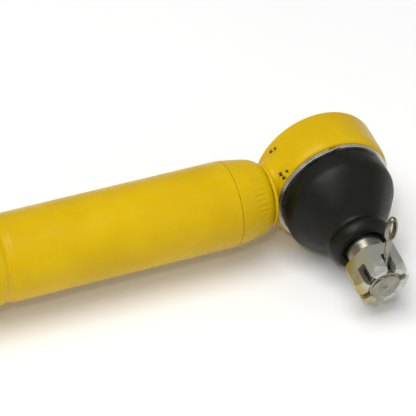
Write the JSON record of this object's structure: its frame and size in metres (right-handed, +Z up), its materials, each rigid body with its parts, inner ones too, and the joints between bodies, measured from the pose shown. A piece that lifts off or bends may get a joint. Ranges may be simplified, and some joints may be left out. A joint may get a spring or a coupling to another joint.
{
  "type": "hydraulic steering damper",
  "caption": "Sealed telescopic hydraulic cylinder with a yellow tube, a dust shroud and a booted ball joint with castle nut and split pin at each end.",
  "frame": {"origin": "centre of the bottom of the bounding box, where the part rests on the round sides of its two ball joint housings", "axes": "+X along the cylinder towards ball joint A, the one in the picture; both studs point along -Y; +Z up"},
  "size_m": [0.5256, 0.0835, 0.0575],
  "materials": {
    "yellow_paint": "gloss",
    "weld_paint": "gloss over a rough weld",
    "plated_steel": "bright zinc plate",
    "yellow_zinc": "yellow passivated zinc plate",
    "bare_steel": "turned steel",
    "chrome_rod": "ground and chromed",
    "spring_steel": "dark spring steel",
    "sintered_iron": "sintered",
    "aluminium": "machined",
    "bronze": "sintered bronze bearing",
    "black_rubber": "satin",
    "ptfe": "filled bearing plastic",
    "acetal": "moulded bearing plastic"
  },
  "bodies": {
    "cylinder": {"body_tube": "yellow_paint", "base_cup": "yellow_paint", "rod_guide": "aluminium", "guide_bush": "bronze", "guide_o_ring": "black_rubber", "rod_seal": "black_rubber", "rod_wiper": "black_rubber", "a_ball_housing": "yellow_paint", "a_weld_bead": "weld_paint", "a_back_seat": "acetal", "a_front_seat": "acetal", "a_preload_spring": "spring_steel", "a_cover_plate": "plated_steel", "a_retaining_ring": "plated_steel", "a_boot": "black_rubber"},
    "gas_piston": {"floating_piston": "aluminium", "floating_piston_seal": "black_rubber"},
    "piston_bearing": {"piston_band": "ptfe"},
    "rod": {"piston_rod": "chrome_rod", "piston": "sintered_iron", "compression_shims": "spring_steel", "rebound_shims": "spring_steel", "compression_washer": "bare_steel", "rebound_washer": "bare_steel", "piston_nut": "plated_steel", "rebound_bumper": "black_rubber", "dust_shroud": "yellow_paint", "shroud_cap": "yellow_paint", "b_ball_housing": "yellow_paint", "b_weld_bead": "weld_paint", "b_back_seat": "acetal", "b_front_seat": "acetal", "b_preload_spring": "spring_steel", "b_cover_plate": "plated_steel", "b_retaining_ring": "plated_steel", "b_boot": "black_rubber"},
    "a_boot_end": {"a_boot_sleeve": "spring_steel"},
    "a_stud": {"a_ball_stud": "bare_steel", "a_castle_nut": "yellow_zinc", "a_split_pin": "bare_steel"},
    "b_boot_end": {"b_boot_sleeve": "spring_steel"},
    "b_stud": {"b_ball_stud": "bare_steel", "b_castle_nut": "yellow_zinc", "b_split_pin": "bare_steel"}
  },
  "joints": [
    {"name": "rod_slide", "type": "slide", "parent": "cylinder", "child": "piston_bearing", "axis": [1, 0, 0], "range_m": [-0.07, 0.07]},
    {"name": "rod_turn", "type": "hinge", "parent": "piston_bearing", "child": "rod", "pos_m": [0, 0.02045, 0.0278], "axis": [1, 0, 0], "continuous": true},
    {"name": "gas_piston_slide", "type": "slide", "parent": "cylinder", "child": "gas_piston", "axis": [1, 0, 0], "range_m": [-0.013, 0.013]},
    {"name": "a_stud_tilt", "type": "hinge", "parent": "cylinder", "child": "a_boot_end", "pos_m": [0.235, 0.02045, 0.0278], "axis": [1, 0, 0], "range_deg": [-21.9, 8.1], "deforming": ["a_boot"]},
    {"name": "a_stud_spin", "type": "hinge", "parent": "a_boot_end", "child": "a_stud", "pos_m": [0.235, 0.02045, 0.0278], "axis": [0, -0.9928, -0.1201], "continuous": true},
    {"name": "b_stud_tilt", "type": "hinge", "parent": "rod", "child": "b_boot_end", "pos_m": [-0.235, 0.02045, 0.0278], "axis": [1, 0, 0], "range_deg": [-15, 15], "deforming": ["b_boot"]},
    {"name": "b_stud_spin", "type": "hinge", "parent": "b_boot_end", "child": "b_stud", "pos_m": [-0.235, 0.02045, 0.0278], "axis": [0, -1, 0], "continuous": true}
  ],
  "couplings": [
    {"joint": "gas_piston_slide", "follows": "rod_slide", "ratio": 0.18}
  ]
}
